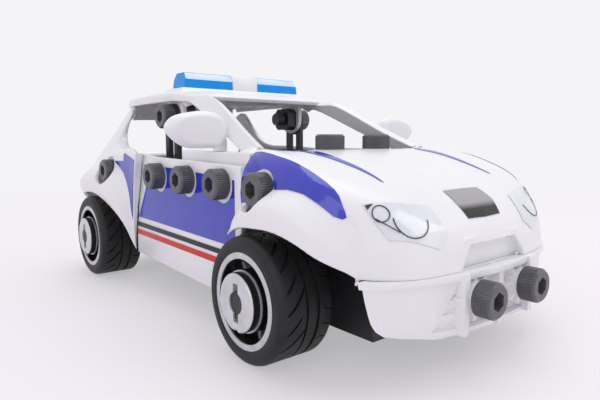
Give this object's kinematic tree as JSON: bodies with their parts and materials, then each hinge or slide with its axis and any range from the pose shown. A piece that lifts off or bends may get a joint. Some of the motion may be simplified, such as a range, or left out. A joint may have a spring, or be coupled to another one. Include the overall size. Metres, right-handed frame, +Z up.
{
  "type": "toy police car",
  "caption": "Bolt-together toy police car with white moulded panels on a black strip frame, light bar, mirrors and rolling tyred wheels.",
  "frame": {"origin": "on the ground under the middle of the car's bounding box", "axes": "+X forward out of the nose, +Y to the car's left, +Z up"},
  "size_m": [0.2314, 0.1348, 0.101],
  "materials": {
    "panel": "satin gloss",
    "frame": "satin",
    "bolt": "satin",
    "nut": "satin",
    "rim": "silver satin",
    "hub": "satin",
    "axle": "satin",
    "tyre": "matte",
    "lens": "clear gloss"
  },
  "bodies": {
    "car": {"chassis": "frame", "front_bracket": "frame", "hood_bracket": "frame", "side_strip_right": "frame", "side_strip_left": "frame", "cabin_upright_right": "frame", "cabin_upright_left": "frame", "front_body": "panel", "front_bumper": "panel", "cabin_shell": "panel", "rear_body": "panel", "door_right": "panel", "door_left": "panel", "mirror_right": "panel", "mirror_left": "panel", "light_bar_cap": "panel", "light_bar_lens_right": "lens", "light_bar_lens_left": "lens", "door_bolts_right": "bolt", "door_bolts_left": "bolt", "fender_bolts": "bolt", "rear_fender_bolts": "bolt", "hood_bolts": "bolt", "bumper_bolts": "bolt", "upright_bolts": "bolt", "door_nuts_right": "nut", "door_nuts_left": "nut", "fender_nuts": "nut", "rear_fender_nuts": "nut", "hood_nuts": "nut", "bumper_nuts": "nut", "upright_nuts": "nut"},
    "front_axle_set": {"front_axle": "axle", "front_wheel_right": "rim", "front_wheel_left": "rim", "front_tyre_right": "tyre", "front_tyre_left": "tyre", "front_hub_right": "hub", "front_hub_left": "hub"},
    "rear_axle_set": {"rear_axle": "axle", "rear_wheel_right": "rim", "rear_wheel_left": "rim", "rear_tyre_right": "tyre", "rear_tyre_left": "tyre", "rear_hub_right": "hub", "rear_hub_left": "hub"}
  },
  "joints": [
    {"name": "front_axle_turn", "type": "hinge", "parent": "car", "child": "front_axle_set", "pos_m": [0.0578, 0, 0.02035], "axis": [0, 1, 0], "continuous": true},
    {"name": "rear_axle_turn", "type": "hinge", "parent": "car", "child": "rear_axle_set", "pos_m": [-0.0852, 0, 0.02035], "axis": [0, 1, 0], "continuous": true}
  ]
}
